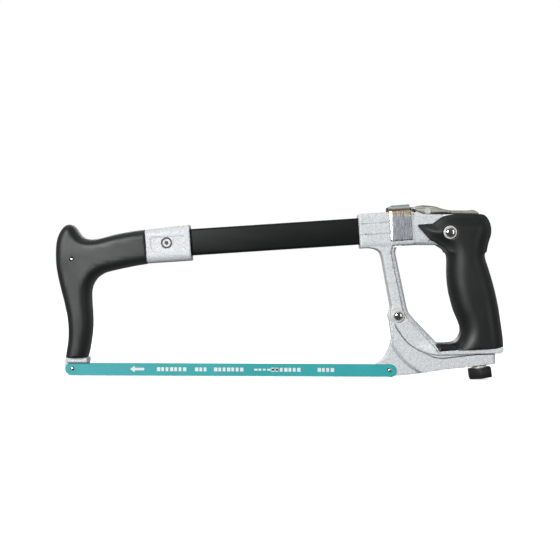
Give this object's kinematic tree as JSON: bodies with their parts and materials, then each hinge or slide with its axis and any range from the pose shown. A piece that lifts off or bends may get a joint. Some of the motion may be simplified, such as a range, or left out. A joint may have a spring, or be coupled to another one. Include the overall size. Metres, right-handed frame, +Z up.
{
  "type": "hacksaw",
  "caption": "Hacksaw with a tube frame, rubber front and D-shaped rear grips, quick-release clamp, pivoting tension arm with screw knob and a removable 300 mm blade.",
  "frame": {"origin": "under the middle of the saw, level with its lowest point, the tension knob", "axes": "+X along the blade from the front grip to the rear grip, +Y sideways away from the blade's side of the frame, +Z up from the blade to the tube"},
  "size_m": [0.4238, 0.037, 0.1654],
  "materials": {
    "cast_aluminium": "speckled silver paint on a die casting, satin",
    "rubber": "soft black overmould, satin",
    "polished_steel": "polished",
    "bright_washer": "satin bright",
    "brushed_steel": "brushed stainless strap",
    "nickel_lever": "dull nickel",
    "tube_enamel": "black satin enamel",
    "blade_enamel": "teal satin enamel",
    "black_plastic": "moulded black"
  },
  "bodies": {
    "rear_handle": {"rear_casting": "cast_aluminium", "rear_grip": "rubber", "grip_screw": "polished_steel", "grip_nut": "polished_steel", "grip_screw_washer": "bright_washer", "grip_nut_washer": "bright_washer", "pivot_pin": "polished_steel", "pivot_washer": "bright_washer", "pivot_nut_washer": "bright_washer", "pivot_nut": "polished_steel", "lever_pin": "polished_steel", "threaded_insert": "polished_steel"},
    "front_frame": {"front_casting": "cast_aluminium", "front_grip": "rubber", "front_grip_pin": "polished_steel", "frame_tube": "tube_enamel", "tube_end_plug": "black_plastic", "collar_rivet_1": "polished_steel", "collar_rivet_2": "polished_steel"},
    "front_pin": {"front_blade_pin": "polished_steel"},
    "blade": {"blade": "blade_enamel"},
    "tension_arm": {"tension_arm": "cast_aluminium", "rear_blade_pin": "polished_steel"},
    "knob_washer": {"knob_washer": "bright_washer"},
    "tension_knob": {"tension_bolt": "polished_steel", "tension_knob": "black_plastic"},
    "clamp_saddle": {"clamp_saddle": "brushed_steel", "clamp_yoke": "brushed_steel"},
    "quick_release_lever": {"quick_release_lever": "nickel_lever"}
  },
  "joints": [
    {"name": "tube_slide", "type": "slide", "parent": "rear_handle", "child": "front_frame", "axis": [-0.9976, 0, -0.0698], "range_m": [0, 0.00392]},
    {"name": "blade_swing", "type": "hinge", "parent": "front_frame", "child": "front_pin", "pos_m": [-0.19591, 0, 0.00856], "axis": [0, 1, 0], "range_deg": [-0.1844, 0]},
    {"name": "blade_lift_off", "type": "slide", "parent": "front_pin", "child": "blade", "axis": [0, -1, 0], "range_m": [0, 0.012]},
    {"name": "arm_pivot", "type": "hinge", "parent": "rear_handle", "child": "tension_arm", "pos_m": [0.11109, 0, 0.06016], "axis": [0, 1, 0], "range_deg": [0, 4.41]},
    {"name": "knob_travel", "type": "slide", "parent": "rear_handle", "child": "knob_washer", "axis": [0.1305, 0, -0.9914], "range_m": [0, 0.00631]},
    {"name": "knob_turn", "type": "hinge", "parent": "knob_washer", "child": "tension_knob", "pos_m": [0.18919, 0, 0.01356], "axis": [0.1305, 0, -0.9914], "range_deg": [0, 1803]},
    {"name": "lever_lift", "type": "hinge", "parent": "rear_handle", "child": "quick_release_lever", "pos_m": [0.13879, 0, 0.15886], "axis": [0, -1, 0], "range_deg": [0, 12]},
    {"name": "saddle_drop", "type": "slide", "parent": "rear_handle", "child": "clamp_saddle", "axis": [0.0698, 0, -0.9976], "range_m": [0, 0.00242]}
  ],
  "couplings": [
    {"joint": "knob_turn", "follows": "tube_slide", "rad_per_m": 8019.7},
    {"joint": "knob_travel", "follows": "tube_slide", "ratio": 1.5955},
    {"joint": "arm_pivot", "follows": "tube_slide", "rad_per_m": 19.452},
    {"joint": "blade_swing", "follows": "tube_slide", "rad_per_m": -0.81337},
    {"joint": "saddle_drop", "follows": "lever_lift", "m_per_rad": 0.011459}
  ]
}
